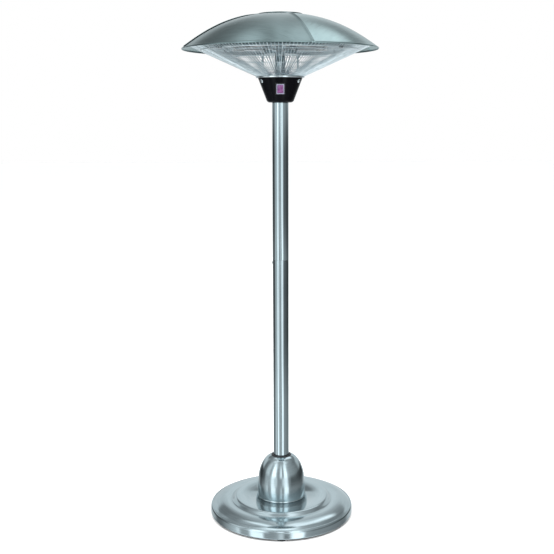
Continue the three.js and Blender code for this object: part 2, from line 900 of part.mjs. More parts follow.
function crownOutline(inner, outer, lift) {
  const steps = 3;
  const points = [];
  for (let i = 0; i <= steps; i += 1) {
    const radius = outer + ((inner - outer) * i) / steps;
    points.push([radius, domeTop(radius) + lift]);
  }
  return points;
}

const crownLift = 2 * canopySheet + 3 * gap; // the cap's top sheet clears the raised laps

function canopyHub() {
  const bore = crownBoltRadius - 0.8;
  const threadDepth = 30;
  const top = domeTop(0) - canopySheet - 2 * gap;
  const discTop = crownOutline(hubStudRadius + 6, crownRadius - 6, -canopySheet - 2 * gap);
  const discBottom = [...discTop].reverse().map(([r, z]) => [r, z - 2.5]);
  return turned([
    [0, drumPlateBottom],
    [hubStudRadius, drumPlateBottom],
    [hubStudRadius, drumPlateTop + gap],
    [hubStudRadius + 5, drumPlateTop + gap],
    [hubStudRadius + 5, drumPlateTop + 8],
    [hubStudRadius, drumPlateTop + 10],
    ...discBottom,
    ...discTop,
    [bore + gap, top],
    [bore + gap, top - threadDepth],
    [0, top - threadDepth],
  ], hubFacets);
}

function crownCap() {
  const inner = crownBoltRadius + screwClearance;
  const outline = crownOutline(inner, crownRadius, crownLift + crownSheet - canopySheet);
  return turned(sheetProfile(outline, crownSheet), 28);
}

function crownBolt() {
  const seat = domeTop(0) + crownLift + crownSheet - canopySheet + gap;
  const tip = domeTop(0) - canopySheet - 2 * gap - 24;
  return turned([
    [0, tip],
    [crownBoltRadius - 0.8, tip],
    [crownBoltRadius - 0.8, seat],
    [crownBoltHead, seat],
    [crownBoltHead * 0.75, seat + 1.8],
    [0, seat + 2.2],
  ], smallFacets);
}

// Assembly

piece('base_cover', baseCover(), 'steel');
piece('base_plate', basePlate(), 'black');
piece('ballast_ring', ringPiece(ballastInner, ballastOuter, basePlateTop + gap, ballastTop), 'iron');
for (let i = 0; i < 4; i += 1) {
  piece(`base_foot_${i + 1}`, baseFoot(i), 'rubber');
}
piece('pole_socket', poleSocket(), 'zinc');
for (let i = 0; i < flangeBolts; i += 1) {
  piece(`socket_bolt_${i + 1}`, socketBolt(i), 'zinc');
}
piece('bell_cover', bellCover(), 'steel');
piece('collar_ring', collarRing(), 'black');
piece('cable_gland', cableGland(), 'black');
piece('inner_lead', innerLead(), 'rubber');
piece('lower_pole', lowerPole(), 'steel');
piece('upper_pole', upperPole(), 'steel');
piece('pole_joiner', poleJoiner(), 'zinc');
piece('joiner_screw_1', joinerScrew(lowerScrewAngle, lowerScrewHeight), 'zinc');
piece('joiner_screw_2', joinerScrew(upperScrewAngle, upperScrewHeight), 'zinc');
piece('head_socket', headSocket(), 'zinc');
piece('head_housing', headHousing(), 'black');
piece('housing_pan', housingPan(), 'polished');
housingScrewAngles.forEach((angle, i) => {
  piece(`housing_screw_${i + 1}`, housingScrew(angle), 'polished');
});
piece('switch_frame', switchFrame(), 'pale');
piece('switch_rocker', rocker(), 'lamp');
piece('switch_body', switchBody(), 'black');
piece('terminal_block', terminalBlock(), 'ceramic');
piece('tilt_switch', tiltSwitch(), 'pale');
piece('centre_tube', ringPiece(tubeRadius - 1.5, tubeRadius, panTop + gap, centreTubeTop, 24), 'polished');
for (let i = 0; i < rodCount; i += 1) {
  piece(`support_rod_${i + 1}`, supportRod(i), 'polished');
}
piece('element_drum', elementDrum(), 'polished');
piece('drum_plate', drumPlate(), 'zinc');
piece('reflector_dish', reflectorDish(), 'polished');
for (let i = 0; i < quartzCount; i += 1) {
  piece(`heating_tube_${i + 1}`, quartzTube(i), 'quartz');
  piece(`tube_holder_${2 * i + 1}`, tubeHolder(i, -1), 'ceramic');
  piece(`tube_holder_${2 * i + 2}`, tubeHolder(i, 1), 'ceramic');
}
piece('wire_guard', wireGuard(), 'polished');
for (let i = 0; i < guardClips; i += 1) {
  piece(`guard_clip_${i + 1}`, guardClip(i), 'zinc');
}
for (let i = 0; i < panelCount; i += 1) {
  piece(`canopy_panel_${i + 1}`, canopyPanel(i), 'steel');
}
piece('canopy_hub', canopyHub(), 'zinc');
piece('crown_cap', crownCap(), 'steel');
piece('crown_bolt', crownBolt(), 'zinc');

export default heater;
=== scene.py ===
# A free-standing electric patio heater: a stepped round base with a bell over the pole's foot, a
# two-section steel pole, a black switch housing, and quartz tubes under a four-panel canopy.
# Metres, +Z up, the front faces -Y. Sizes in the dictionaries are in millimetres.
import json
import math

import bmesh
import bpy
from mathutils import Matrix, Vector


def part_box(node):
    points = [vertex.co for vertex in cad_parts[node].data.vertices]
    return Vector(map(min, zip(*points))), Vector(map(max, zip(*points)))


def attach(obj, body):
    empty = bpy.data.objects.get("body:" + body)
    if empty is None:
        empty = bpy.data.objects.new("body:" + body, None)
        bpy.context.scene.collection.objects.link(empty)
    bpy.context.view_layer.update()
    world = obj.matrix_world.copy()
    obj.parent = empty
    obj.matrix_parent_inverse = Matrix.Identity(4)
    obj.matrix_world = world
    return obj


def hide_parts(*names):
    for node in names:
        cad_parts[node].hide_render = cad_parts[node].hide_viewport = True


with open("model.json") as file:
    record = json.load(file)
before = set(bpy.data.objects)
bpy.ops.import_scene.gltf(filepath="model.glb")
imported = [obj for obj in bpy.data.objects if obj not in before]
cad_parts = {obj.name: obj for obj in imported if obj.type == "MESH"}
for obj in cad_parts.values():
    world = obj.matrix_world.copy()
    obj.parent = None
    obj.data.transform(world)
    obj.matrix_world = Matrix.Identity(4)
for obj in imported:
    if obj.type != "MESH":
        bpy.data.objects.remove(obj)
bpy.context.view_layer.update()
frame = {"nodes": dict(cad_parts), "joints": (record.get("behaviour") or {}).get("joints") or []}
cadNodes = frame["nodes"]
mm = 0.001
fullTurn = 2 * math.pi
frontAngle = -math.pi / 2
rearAngle = math.pi / 2


# shader maths


class Wire:
    # a socket of a node tree; arithmetic on it adds Math nodes
    def __init__(self, tree, socket=None):
        self.tree = tree
        self.socket = socket

    def node(self, kind, settings=None, sockets=None, out=0):
        made = self.tree.nodes.new(kind)
        for name, value in (settings or {}).items():
            if name == "stops":
                setStops(made.color_ramp, value)
            else:
                setattr(made, name, value)
        for name, value in (sockets or {}).items():
            if isinstance(value, Wire):
                self.tree.links.new(value.socket, made.inputs[name])
            else:
                made.inputs[name].default_value = value
        return Wire(self.tree, made.outputs[out] if made.outputs else None)

    def calc(self, operation, *values):
        return self.node("ShaderNodeMath", {"operation": operation}, dict(enumerate(values)))

    def __add__(self, other):
        return self.calc("ADD", self, other)

    def __sub__(self, other):
        return self.calc("SUBTRACT", self, other)

    def __rsub__(self, other):
        return self.calc("SUBTRACT", other, self)

    def __mul__(self, other):
        return self.calc("MULTIPLY", self, other)

    def __truediv__(self, other):
        return self.calc("DIVIDE", self, other)

    def __pow__(self, other):
        return self.calc("POWER", self, other)

    __radd__ = __add__
    __rmul__ = __mul__

    def step(self, low, high, fromValue=0.0, toValue=1.0):
        sockets = {"Value": self, "From Min": low, "From Max": high, "To Min": fromValue, "To Max": toValue}
        return self.node("ShaderNodeMapRange", {"interpolation_type": "SMOOTHSTEP"}, sockets)

    def blend(self, first, second):
        # a colour: first where this value is 0, second where it is 1
        return self.node("ShaderNodeMix", {"data_type": "RGBA"}, {0: self, 6: first, 7: second}, out=2)


def setStops(ramp, stops):
    while len(ramp.elements) > 1:
        ramp.elements.remove(ramp.elements[-1])
    for i, (place, colour) in enumerate(stops):
        element = ramp.elements[0] if i == 0 else ramp.elements.new(place)
        element.position = place
        element.color = colour


def objectPlace(start):
    return start.node("ShaderNodeTexCoord", out="Object")


def axisOf(vector, i):
    return vector.node("ShaderNodeSeparateXYZ", sockets={"Vector": vector}, out=i)


def noiseOn(vector, scale, detail=2.0):
    sockets = {"Vector": vector, "Scale": scale, "Detail": detail}
    return vector.node("ShaderNodeTexNoise", sockets=sockets, out="Fac")


def stretched(vector, scale, turn=0.0):
    # turns the pattern about Z, then draws it out along its own axes
    turned = vector.node("ShaderNodeMapping", sockets={"Vector": vector, "Rotation": (0, 0, turn)})
    return turned.node("ShaderNodeMapping", sockets={"Vector": turned, "Scale": scale})


def bumpFrom(height, strength, distance):
    sockets = {"Height": height, "Strength": strength, "Distance": distance}
    return height.node("ShaderNodeBump", sockets=sockets, out="Normal")


def makeMaterial(name, build):
    material = bpy.data.materials.new(name)
    material.use_nodes = True
    tree = material.node_tree
    tree.nodes.clear()
    start = Wire(tree)
    surface = start.node("ShaderNodeBsdfPrincipled", sockets=build(start))
    start.node("ShaderNodeOutputMaterial", sockets={"Surface": surface})
    return material


# finishes

steelTones = {
    "light": (0.60, 0.69, 0.72, 1),
    "dark": (0.52, 0.61, 0.64, 1),
    "canopyLight": (0.34, 0.44, 0.445, 1),
    "canopyDark": (0.27, 0.355, 0.36, 1),
}


def steelSockets(grain, tones, rough, depth, drawn=0.0):
    # fine lines from the grain's coordinates, with broad smudges over them; a drawn finish smears
    # reflections along the axis and keeps them narrow round it
    place = objectPlace(grain)
    lines = noiseOn(grain, 1.0, 3.0)
    smudge = noiseOn(place, 7.0, 4.0)
    worn = noiseOn(place, 38.0, 3.0).step(0.62, 0.75)
    return {
        "Base Color": (lines * 0.6 + smudge * 0.4).step(0.35, 0.65).blend(*tones),
        "Metallic": 1.0,
        "Roughness": lines * rough * 0.5 + smudge * rough * 0.5 + worn * 0.03 + rough * 0.5,
        "Normal": bumpFrom(lines, depth, 0.0002),
        "Anisotropic": drawn,
        "Anisotropic Rotation": 0.25,
    }


def lengthwiseSteel(start):
    # drawn tube, brushed along its length
    grain = stretched(objectPlace(start), (900, 900, 7))
    return steelSockets(grain, (steelTones["dark"], steelTones["light"]), 0.12, 0.04, 0.5)


def turnedSteel(dark, light, lines, rough, depth, drawn):
    # pressed and spun sheet, with fine rings about the axis
    def build(start):
        place = objectPlace(start)
        x, y, z = (axisOf(place, i) for i in range(3))
        radius = (x * x + y * y) ** 0.5 + 0.0001
        sockets = {"X": x / radius * 2.0, "Y": y / radius * 2.0, "Z": (radius + z) * lines}
        grain = start.node("ShaderNodeCombineXYZ", sockets=sockets)
        return steelSockets(grain, (steelTones[dark], steelTones[light]), rough, depth, drawn)

    return build


def panelSteelWithPaintedLight(turn, paintedLightShare):
    # brushed across the panel's own middle line, so neighbouring panels catch the light a little differently; on top of
    # that each panel's colour is scaled by a painted light share, a lighter or darker copy of the same steel standing
    # in for how the light falls on it
    def build(start):
        grain = stretched(objectPlace(start), (520, 9, 60), turn)
        # painted light: both tones are scaled by the panel's share, so this copy of the steel is painted lighter or
        # darker than its neighbours
        tones = ((*(c * paintedLightShare for c in steelTones[tone][:3]), 1) for tone in ("canopyDark", "canopyLight"))
        return steelSockets(grain, tones, 0.22, 0.15)

    return build


def polishedSteel(start):
    place = objectPlace(start)
    film = noiseOn(place, 22.0, 4.0)
    return {
        "Base Color": film.step(0.3, 0.7).blend((0.70, 0.77, 0.80, 1), (0.80, 0.85, 0.87, 1)),
        "Metallic": 1.0,
        "Roughness": film * 0.10 + 0.05,
        "Normal": bumpFrom(noiseOn(place, 400.0), 0.03, 0.0002),
    }


def satinSteel(dark, light):
    def build(start):
        place = objectPlace(start)
        film = noiseOn(place, 26.0, 4.0)
        return {
            "Base Color": film.step(0.3, 0.7).blend(dark, light),
            "Metallic": 1.0,
            "Roughness": film * 0.08 + 0.06,
            "Normal": bumpFrom(noiseOn(place, 500.0), 0.04, 0.0002),
        }

    return build


def wireSteel(start):
    film = noiseOn(objectPlace(start), 60.0, 2.0)
    return {
        "Base Color": film.step(0.3, 0.7).blend((0.60, 0.67, 0.70, 1), (0.76, 0.82, 0.84, 1)),
        "Metallic": 1.0,
        "Roughness": film * 0.2 + 0.12,
    }


def zincPlate(start):
    place = objectPlace(start)
    patches = noiseOn(place, 140.0, 4.0)
    return {
        "Base Color": patches.step(0.3, 0.7).blend((0.42, 0.46, 0.48, 1), (0.62, 0.65, 0.66, 1)),
        "Metallic": 1.0,
        "Roughness": patches * 0.3 + 0.22,
        "Normal": bumpFrom(noiseOn(place, 900.0, 3.0), 0.12, 0.0002),
    }


def blackCoat(start):
    # fine-textured powder coat
    place = objectPlace(start)
    grain = noiseOn(place, 1500.0, 3.0)
    wear = noiseOn(place, 16.0, 4.0)
    return {
        "Base Color": wear.step(0.3, 0.7).blend((0.0012, 0.0012, 0.0020, 1), (0.0026, 0.0026, 0.0040, 1)),
        "Roughness": wear * 0.08 + grain * 0.04 + 0.13,
        "Specular IOR Level": 0.08,
        "Normal": bumpFrom(grain, 0.05, 0.0002),
    }


def blackPlastic(start):
    place = objectPlace(start)
    grain = noiseOn(place, 2200.0, 2.0)
    return {
        "Base Color": noiseOn(place, 30.0).step(0.3, 0.7).blend((0.010, 0.011, 0.013, 1), (0.022, 0.023, 0.026, 1)),
        "Roughness": grain * 0.15 + 0.33,
        "Normal": bumpFrom(grain, 0.2, 0.0002),
    }


def rubber(start):
    place = objectPlace(start)
    dust = noiseOn(place, 90.0, 4.0)
    return {
        "Base Color": dust.step(0.45, 0.8).blend((0.014, 0.015, 0.016, 1), (0.05, 0.05, 0.052, 1)),
        "Roughness": dust * 0.2 + 0.65,
        "Normal": bumpFrom(noiseOn(place, 1200.0), 0.3, 0.0003),
    }


def castIron(start):
    place = objectPlace(start)
    pits = noiseOn(place, 260.0, 5.0)
    return {
        "Base Color": pits.step(0.3, 0.7).blend((0.03, 0.032, 0.034, 1), (0.09, 0.09, 0.092, 1)),
        "Metallic": 0.3,
        "Roughness": pits * 0.3 + 0.6,
        "Normal": bumpFrom(pits, 0.5, 0.0006),
    }


def palePlastic(start):
    place = objectPlace(start)
    tint = noiseOn(place, 80.0, 3.0)
    return {
        "Base Color": tint.step(0.3, 0.7).blend((0.33, 0.33, 0.46, 1), (0.41, 0.41, 0.54, 1)),
        "Roughness": tint * 0.15 + 0.28,
        "Normal": bumpFrom(noiseOn(place, 1600.0), 0.08, 0.0002),
    }


def lensPlastic(start):
    place = objectPlace(start)
    depth = noiseOn(place, 120.0, 3.0)
    return {
        "Base Color": depth.step(0.3, 0.7).blend((0.13, 0.035, 0.14, 1), (0.24, 0.08, 0.24, 1)),
        "Roughness": depth * 0.1 + 0.18,
        "Coat Weight": 0.4,
        "Normal": bumpFrom(noiseOn(place, 1300.0), 0.06, 0.0002),
    }


def ceramic(start):
    place = objectPlace(start)
    grain = noiseOn(place, 420.0, 5.0)
    return {
        "Base Color": grain.step(0.35, 0.7).blend((0.40, 0.42, 0.42, 1), (0.55, 0.57, 0.57, 1)),
        "Roughness": grain * 0.2 + 0.55,
        "Normal": bumpFrom(grain, 0.25, 0.0003),
    }


def quartz(start):
    frost = noiseOn(objectPlace(start), 70.0, 4.0)
    return {
        "Base Color": frost.step(0.3, 0.8).blend((0.93, 0.95, 0.96, 1), (0.80, 0.83, 0.85, 1)),
        "Roughness": frost * 0.1 + 0.03,
        "IOR": 1.46,
        "Transmission Weight": 0.85,
    }


def filament(start):
    heatTint = noiseOn(objectPlace(start), 50.0, 3.0)
    return {
        "Base Color": heatTint.step(0.3, 0.7).blend((0.18, 0.15, 0.14, 1), (0.36, 0.30, 0.27, 1)),
        "Metallic": 0.9,
        "Roughness": heatTint * 0.3 + 0.35,
    }


finishes = {
    "tube": makeMaterial("brushed_tube", lengthwiseSteel),
    "spun": makeMaterial("spun_steel", turnedSteel("dark", "light", 900.0, 0.11, 0.05, 1.0)),
    "pressed": makeMaterial("pressed_steel", turnedSteel("dark", "light", 700.0, 0.13, 0.06, 0.6)),
    "crown": makeMaterial("crown_steel", turnedSteel("canopyDark", "canopyLight", 900.0, 0.22, 0.1, 0.0)),
    "polished": makeMaterial("polished_steel", polishedSteel),
    "drum": makeMaterial("drum_steel", satinSteel((0.66, 0.73, 0.75, 1), (0.80, 0.86, 0.88, 1))),
    "stem": makeMaterial("stem_steel", satinSteel((0.22, 0.28, 0.30, 1), (0.34, 0.41, 0.43, 1))),
    "reflector": makeMaterial("reflector_steel", satinSteel((0.27, 0.33, 0.35, 1), (0.37, 0.43, 0.45, 1))),
    "wire": makeMaterial("bright_wire", wireSteel),
    "zinc": makeMaterial("zinc_plate", zincPlate),
    "coat": makeMaterial("black_coat", blackCoat),
    "plastic": makeMaterial("black_plastic", blackPlastic),
    "rubber": makeMaterial("rubber", rubber),
    "iron": makeMaterial("cast_iron", castIron),
    "pale": makeMaterial("pale_plastic", palePlastic),
    "lens": makeMaterial("lens_plastic", lensPlastic),
    "ceramic": makeMaterial("ceramic", ceramic),
    "quartz": makeMaterial("quartz", quartz),
    "filament": makeMaterial("filament", filament),
}
print("finishes ready")


# modelling helpers


def lowOf(node):
    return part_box(node)[0]


def highOf(node):
    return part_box(node)[1]


def polar(radius, angle, height=0.0):
    return Vector((radius * math.cos(angle), radius * math.sin(angle), height))


def eased(points, steps=4):
    # rounds the corners of a profile; a point is (radius, height) or (radius, height, rounding)
    made = []
    for i, point in enumerate(points):
        corner = Vector(point[:2])
        if len(point) < 3 or i in (0, len(points) - 1):
            made.append(corner)
            continue
        before = Vector(points[i - 1][:2])
        after = Vector(points[i + 1][:2])
        start = corner + (before - corner).normalized() * point[2]
        end = corner + (after - corner).normalized() * point[2]
        for k in range(steps + 1):
            share = k / steps
            made.append(start * (1 - share) ** 2 + corner * 2 * share * (1 - share) + end * share**2)
    return made


def flowing(points, steps=6):
    # a smooth line through the points
    made = []
    last = len(points) - 1
    for i in range(last):
        a, b, c, d = (Vector(points[min(max(k, 0), last)]) for k in (i - 1, i, i + 1, i + 2))
        for k in range(steps):
            t = k / steps
            bend = (2 * a - 5 * b + 4 * c - d) * t**2 + (3 * b - a - 3 * c + d) * t**3
            made.append((2 * b + (c - a) * t + bend) / 2)
    made.append(Vector(points[last]))
    return made


def spun(profile, steps=96, closed=False, scale=mm):
    # a turned surface about Z from radius and height pairs
    bm = bmesh.new()
    verts = [bm.verts.new((p[0] * scale, 0, p[1] * scale)) for p in profile]
    edges = [bm.edges.new(pair) for pair in zip(verts, verts[1:])]
    if closed:
        edges.append(bm.edges.new((verts[-1], verts[0])))
    bmesh.ops.spin(
        bm, geom=verts + edges, cent=(0, 0, 0), axis=(0, 0, 1), angle=fullTurn, steps=steps, use_merge=True
    )
    bmesh.ops.remove_doubles(bm, verts=bm.verts, dist=1e-6)
    bmesh.ops.recalc_face_normals(bm, faces=bm.faces)
    return bm


def faceOutwards(bm):
    # an open sheet's faces are turned to point away from its middle
    middle = sum((v.co for v in bm.verts), Vector()) / len(bm.verts)
    bm.normal_update()
    lean = sum(f.normal.dot(f.calc_center_median() - middle) * f.calc_area() for f in bm.faces)
    if lean < 0:
        bmesh.ops.reverse_faces(bm, faces=bm.faces)


def softened(bm, width, angle=30.0, segments=2):
    sharp = [e for e in bm.edges if len(e.link_faces) == 2 and e.calc_face_angle() > math.radians(angle)]
    bmesh.ops.bevel(
        bm, geom=sharp, offset=width * mm, affect="EDGES", segments=segments, profile=0.5, material=-1,
        clamp_overlap=True,
    )


def moved(bm, matrix):
    bmesh.ops.transform(bm, matrix=matrix, verts=bm.verts)
    return bm


def joined(first, *others):
    # adds other meshes to the first
    for other in others:
        spare = bpy.data.meshes.new("spare")
        other.to_mesh(spare)
        other.free()
        first.from_mesh(spare)
        bpy.data.meshes.remove(spare)
    return first


def block(width, depth, height, soft=0.6):
    bm = bmesh.new()
    bmesh.ops.create_cube(bm, size=1, matrix=Matrix.Diagonal((width * mm, depth * mm, height * mm, 1)))
    softened(bm, soft)
    return bm


def rod(radius, bottom, top, steps=24, soft=0.4):
    profile = [(0, bottom), (radius, bottom, soft), (radius, top, soft), (0, top)]
    return spun(eased(profile, 2), steps)


def hexNut(across, thickness):
    # a nut with chamfered corners, its lower face at the origin
    bm = bmesh.new()
    radius = across / 2 / math.cos(math.pi / 6) * mm
    bmesh.ops.create_cone(
        bm, cap_ends=True, segments=6, radius1=radius, radius2=radius, depth=thickness * mm,
        matrix=Matrix.Translation((0, 0, thickness * mm / 2)),
    )
    softened(bm, 0.5)
    return bm


def addPiece(name, bm, finish, replaced=(), body="stand", sharp=32.0, wall=0.0, edge=0.0):
    mesh = bpy.data.meshes.new(name)
    bm.to_mesh(mesh)
    bm.free()
    mesh.materials.append(finishes[finish] if isinstance(finish, str) else finish)
    mesh.shade_smooth()
    mesh.set_sharp_from_angle(angle=math.radians(sharp))
    piece = bpy.data.objects.new(name, mesh)
    bpy.context.scene.collection.objects.link(piece)
    if wall:
        thick = piece.modifiers.new("wall", "SOLIDIFY")
        thick.thickness = wall * mm
        thick.offset = -1
    if edge:
        bevel = piece.modifiers.new("edge", "BEVEL")
        bevel.width = edge * mm
        bevel.segments = 2
        bevel.limit_method = "ANGLE"
        bevel.angle_limit = math.radians(40)
    if replaced:
        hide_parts(*replaced)
    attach(piece, body)
    return piece


# base

base = {
    "wall": 1.5,
    "band": [(288.5, 9), (292.2, 9, 0.8), (293, 12, 1.5), (292.4, 36, 3), (289.6, 41.5, 2.2), (286.2, 43.2, 0.8)],
    "groove": [(284.6, 42.0, 0.8), (282.6, 43.6, 0.8)],
    "shoulder": [(281.4, 44.4), (276, 48.2), (269, 51.8), (260, 55.4), (250, 58.2), (239, 60.1), (228, 61), (217, 61.1)],
    "step": [(208.5, 60.9), (204.5, 61.6), (200.5, 65), (196, 69.6), (191.5, 73.2), (186.5, 74.8), (180, 75)],
    "steps": 144,
}
footSize = {"radius": 25, "lip": 22.5}


def makeBase():
    outline = eased(base["band"] + base["groove"] + [base["shoulder"][0]])[:-1]
    outline += flowing(base["shoulder"]) + flowing(base["step"])
    hole = 1000 * highOf("lower_pole").x + 6
    outline.append(Vector((hole, 75)))
    shell = spun(outline, base["steps"])
    faceOutwards(shell)
    addPiece("base_shell", shell, "pressed", ["base_cover"], wall=base["wall"])
    for i in range(4):
        node = f"base_foot_{i + 1}"
        low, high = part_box(node)
        middle = (low + high) / 2
        top = 1000 * high.z
        outline = [(0, 0.8), (17, 0.8, 0.6), (18, 0, 0.6), (footSize["lip"], 0, 1.5)]
        outline += [(footSize["radius"], 2.4, 1.2), (footSize["radius"], top, 0.5), (0, top)]
        foot = spun(eased(outline, 3), 48)
        addPiece(f"floor_pad_{i + 1}", moved(foot, Matrix.Translation((middle.x, middle.y, 0))), "rubber", [node])


bell = {
    "sheet": 1.2,
    "shares": [(1.0, 0.0), (0.998, 0.12), (0.992, 0.25), (0.98, 0.4), (0.945, 0.56), (0.885, 0.69), (0.8, 0.8), (0.68, 0.9)],
    "neck": (54.6, 0.035),
    "lipOut": 1.6,
}


def makeBell():
    low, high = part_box("bell_cover")
    radius = 1000 * high.x
    bottom = 1000 * low.z
    height = 1000 * (high.z - low.z)
    mouth = 1000 * highOf("collar_ring").x + 1
    points = [(radius * r, bottom + height * z) for r, z in bell["shares"]]
    points += [(bell["neck"][0], bottom + height * (1 - bell["neck"][1])), (mouth, bottom + height)]
    outline = [Vector((radius + bell["lipOut"], bottom)), Vector((radius + 0.5, bottom + 1.4))] + flowing(points)[1:]
    shell = spun(outline, 128)
    faceOutwards(shell)
    addPiece("bell_shell", shell, "spun", ["bell_cover"], wall=bell["sheet"])


def makeCollar():
    low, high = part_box("collar_ring")
    inner = 1000 * highOf("lower_pole").x + 0.3
    outer = 1000 * high.x
    bottom, top = 1000 * low.z, 1000 * high.z
    profile = [(inner, bottom), (outer - 1.5, bottom, 1), (outer - 1.5, top - 6, 0.4), (outer, top - 5.6, 0.5)]
    profile += [(outer, top - 2.2, 1.2), (outer - 3.2, top, 1.5), (inner + 1.4, top, 0.8), (inner, top - 1.4), (inner, bottom)]
    addPiece("pole_collar", spun(eased(profile, 3)[:-1], 96, closed=True), "plastic", ["collar_ring"])


def makeGland():
    low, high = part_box("cable_gland")
    middle = (low + high) / 2
    nut = hexNut(21, 4)
    body = spun(eased([(4.1, -10), (8, -10, 0.5), (8, 0), (7, 4), (6.6, 5.4, 0.8), (4.1, 6), (4.1, -10)], 3)[:-1], 40, closed=True)
    face = Matrix.Translation((0, high.y - 6 * mm, middle.z)) @ Matrix.Rotation(-math.pi / 2, 4, "X")
    addPiece("lead_gland", moved(joined(body, nut), face), "plastic", ["cable_gland"])


makeBase()
makeBell()
makeCollar()
makeGland()
print("base done")


# pole

pole = {"wall": 1.5, "steps": 96, "soft": 0.5}
screwSizes = {
    "joiner": {"shank": 2.5, "head": 5.5, "rise": 3.4, "reach": 6, "recess": 2.6},
    "housing": {"shank": 2.0, "head": 7.5, "rise": 3.6, "reach": 6, "recess": 3.0},
}


def tubeProfile(outer, wall, bottom, top, soft):
    inner = outer - wall
    points = [(inner, bottom + soft), (inner, bottom, 0.2), (outer, bottom, soft), (outer, top, soft), (inner, top, 0.2)]
    return eased(points + [(inner, top - soft)], 3)


def crossHead(size):
    # a pan head along +Z with a cross recess, its seat at the origin
    head, rise = size["head"], size["rise"]
    outline = [(0, -size["reach"]), (size["shank"], -size["reach"], 0.4), (size["shank"], 0), (head, 0, 0.3)]
    outline += [(head, rise * 0.45, 1.0), (head * 0.62, rise * 0.95, 1.4), (0, rise)]
    bm = spun(eased(outline, 3), 32)
    arm = size["recess"]
    for turn in (0, math.pi / 2):
        cutFaces = [
            f for f in bm.faces
            if f.calc_center_median().z > rise * 0.8 * mm
            and abs((Matrix.Rotation(turn, 3, "Z") @ f.calc_center_median()).x) < 0.55 * mm
            and abs((Matrix.Rotation(turn, 3, "Z") @ f.calc_center_median()).y) < arm * mm
        ]
        for f in cutFaces:
            f.tag = True
    marked = [f for f in bm.faces if f.tag]
    if marked:
        bmesh.ops.inset_region(bm, faces=marked, thickness=0.08 * mm)
        bmesh.ops.translate(bm, verts=list({v for f in marked for v in f.verts}), vec=(0, 0, -1.2 * mm))
    return bm


def makePole():
    for name, node in (("pole_lower_section", "lower_pole"), ("pole_upper_section", "upper_pole")):
        low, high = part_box(node)
        profile = tubeProfile(1000 * high.x, pole["wall"], 1000 * low.z, 1000 * high.z, pole["soft"])
        addPiece(name, spun(profile, pole["steps"], closed=True), "tube", [node])
    radius = highOf("lower_pole").x
    for i, angle in ((1, math.pi), (2, rearAngle)):
        node = f"joiner_screw_{i}"
        low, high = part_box(node)
        seat = Matrix.Translation(polar(radius + 0.3 * mm, angle, (low.z + high.z) / 2))
        aim = Matrix.Rotation(angle, 4, "Z") @ Matrix.Rotation(math.pi / 2, 4, "Y")
        addPiece(f"pole_screw_{i}", moved(crossHead(screwSizes["joiner"]), seat @ aim), "zinc", [node])


makePole()
print("pole done")


# head housing and switch

housing = {"taper": 0.4, "corner": 13, "wall": 3, "lip": 2.2, "steps": 128}
slope = math.atan(housing["taper"])


def makeHousing():
    top = 1000 * highOf("head_housing").z
    bottom = 1000 * lowOf("head_housing").z
    topRadius = 1000 * highOf("head_housing").x
    hole = 1000 * highOf("upper_pole").x + 0.3
    corner = housing["corner"]
    inset = housing["wall"] / math.cos(slope)

    def coneRadius(z):
        return topRadius - housing["taper"] * (top - z)

    profile = [(hole, bottom), (coneRadius(bottom + corner * 0.2), bottom, corner * 0.8)]
    profile += [(topRadius, top, 0.8)]
    profile += [(topRadius - inset, top, 0.3), (coneRadius(bottom + corner) - inset, bottom + corner, 4)]
    profile += [(coneRadius(bottom + corner) - corner, bottom + housing["wall"], 2), (hole, bottom + housing["wall"])]
    shell = spun(eased(profile, 6), housing["steps"], closed=True)
    addPiece("housing_shell", shell, "coat", ["head_housing"])

    low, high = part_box("housing_pan")
    panRadius, panBottom, panTop = 1000 * high.x, 1000 * low.z, 1000 * high.z
    profile = [(15, panBottom), (panRadius - 1, panBottom, 0.6), (panRadius, panBottom + 1, 0.6), (panRadius, panTop, 0.7)]
    profile += [(panRadius - 1.4, panTop, 0.6), (panRadius - 1.6, panBottom + 2.5, 1), (15, panBottom + 2.5)]
    addPiece("guard_pan", spun(eased(profile, 3), 128, closed=True), "polished", ["housing_pan"])

    for i, angle in enumerate((frontAngle - math.pi / 3, frontAngle + math.pi / 3, rearAngle)):
        node = f"housing_screw_{i + 1}"
        low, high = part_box(node)
        height = (low.z + high.z) / 2
        seat = coneRadius(1000 * height) + 1.2
        place = Matrix.Translation(polar(seat * mm, angle, height))
        aim = Matrix.Rotation(angle, 4, "Z") @ Matrix.Rotation(math.pi / 2 + slope, 4, "Y")
        addPiece(f"case_screw_{i + 1}", moved(crossHead(screwSizes["housing"]), place @ aim), "polished", [node])


switch = {
    "frame": (28.4, 38.4, 3),
    "opening": (23.8, 33),
    "bezel": (36.5, 46, 4.5),
    "rockerWidth": 22.8,
    "reach": 16,
    "rise": 6.4,
    "dip": 3.4,
    "tilt": 10,
    "pivotDepth": 3,
}
hinge = Vector(frame["joints"][0]["pos_m"])


def openPlate(width, height, depth, holeWidth, holeHeight, soft):
    # a plate in the XZ plane with a rectangular opening, its back at y = 0
    bm = bmesh.new()
    bmesh.ops.create_grid(bm, x_segments=1, y_segments=1, size=0.5)
    bmesh.ops.transform(bm, matrix=Matrix.Diagonal((width * mm, height * mm, 1, 1)), verts=bm.verts)
    border = (width - holeWidth) / 2 * mm
    bmesh.ops.inset_region(bm, faces=list(bm.faces), thickness=border, use_boundary=True, use_even_offset=True)
    inner = [f for f in bm.faces if all(len(e.link_faces) == 2 for e in f.edges)]
    bmesh.ops.scale(
        bm, vec=(1, holeHeight / (height - width + holeWidth), 1), verts=list({v for f in inner for v in f.verts})
    )
    bmesh.ops.delete(bm, geom=inner, context="FACES_ONLY")
    made = bmesh.ops.extrude_face_region(bm, geom=list(bm.faces))
    raised = [v for v in made["geom"] if isinstance(v, bmesh.types.BMVert)]
    bmesh.ops.translate(bm, vec=(0, 0, depth * mm), verts=raised)
    bmesh.ops.recalc_face_normals(bm, faces=bm.faces)
    softened(bm, soft, segments=3)
    return moved(bm, Matrix.Rotation(math.pi / 2, 4, "X"))


